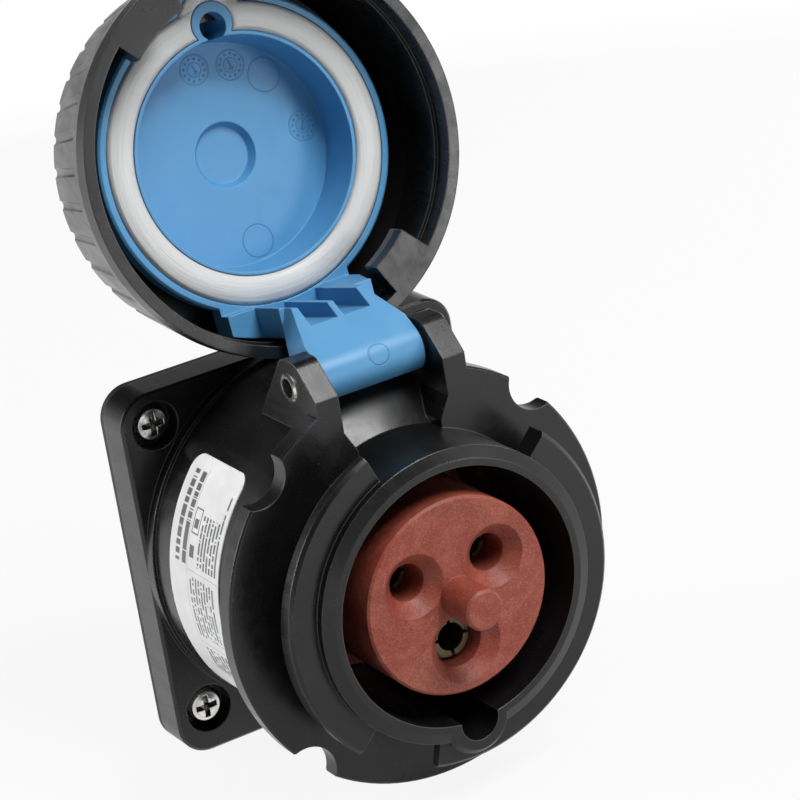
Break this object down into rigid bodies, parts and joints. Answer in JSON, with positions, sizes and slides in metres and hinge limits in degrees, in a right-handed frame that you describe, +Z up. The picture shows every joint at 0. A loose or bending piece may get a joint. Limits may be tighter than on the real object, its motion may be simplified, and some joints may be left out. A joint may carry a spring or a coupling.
{
  "type": "industrial power connector",
  "caption": "Panel-mounted industrial power socket head with a hinged blue cap, a bayonet locking ring and a keyed contact insert.",
  "frame": {"origin": "middle of the mounting face, in the plane that lies on the panel", "axes": "-Y the way the socket looks, +Z up to the hinge, +X to the right as seen from the front"},
  "size_m": [0.0892, 0.0904, 0.1721],
  "materials": {
    "black_moulding": "satin, fine moulded grain",
    "seal_rubber": "matt",
    "plated_steel": "plated, bright",
    "label_film": "silver film",
    "insert_moulding": "mottled brick red thermoset",
    "contact_brass": "dull plated brass",
    "spring_steel": "grey spring steel",
    "pin_steel": "bright drawn tube",
    "blue_moulding": "satin blue",
    "gasket_rubber": "white, soft"
  },
  "bodies": {
    "head": {"head_housing": "black_moulding", "flange_gasket": "seal_rubber", "flange_screws": "plated_steel", "flange_washers": "plated_steel", "label": "label_film", "contact_insert": "insert_moulding", "line_contact": "contact_brass", "neutral_contact": "contact_brass", "earth_contact": "contact_brass", "line_contact_spring": "spring_steel", "neutral_contact_spring": "spring_steel", "earth_contact_spring": "spring_steel", "terminal_screws": "plated_steel", "insert_seal": "seal_rubber", "insert_retaining_ring": "black_moulding", "retaining_ring_screws": "plated_steel", "hinge_pin": "pin_steel"},
    "hinged cap": {"cap": "blue_moulding", "cap_gasket": "gasket_rubber", "bayonet_ring_clip": "spring_steel"},
    "locking ring": {"bayonet_ring": "black_moulding"}
  },
  "joints": [
    {"name": "cap_hinge", "type": "hinge", "parent": "head", "child": "hinged cap", "pos_m": [0, -0.0442, 0.0449], "axis": [1, 0, 0], "range_deg": [0, 192.3]},
    {"name": "ring_turn", "type": "hinge", "parent": "hinged cap", "child": "locking ring", "pos_m": [-0.0007, -0.00454, 0.08221], "axis": [0, -0.977, 0.213], "range_deg": [0, 90]}
  ]
}
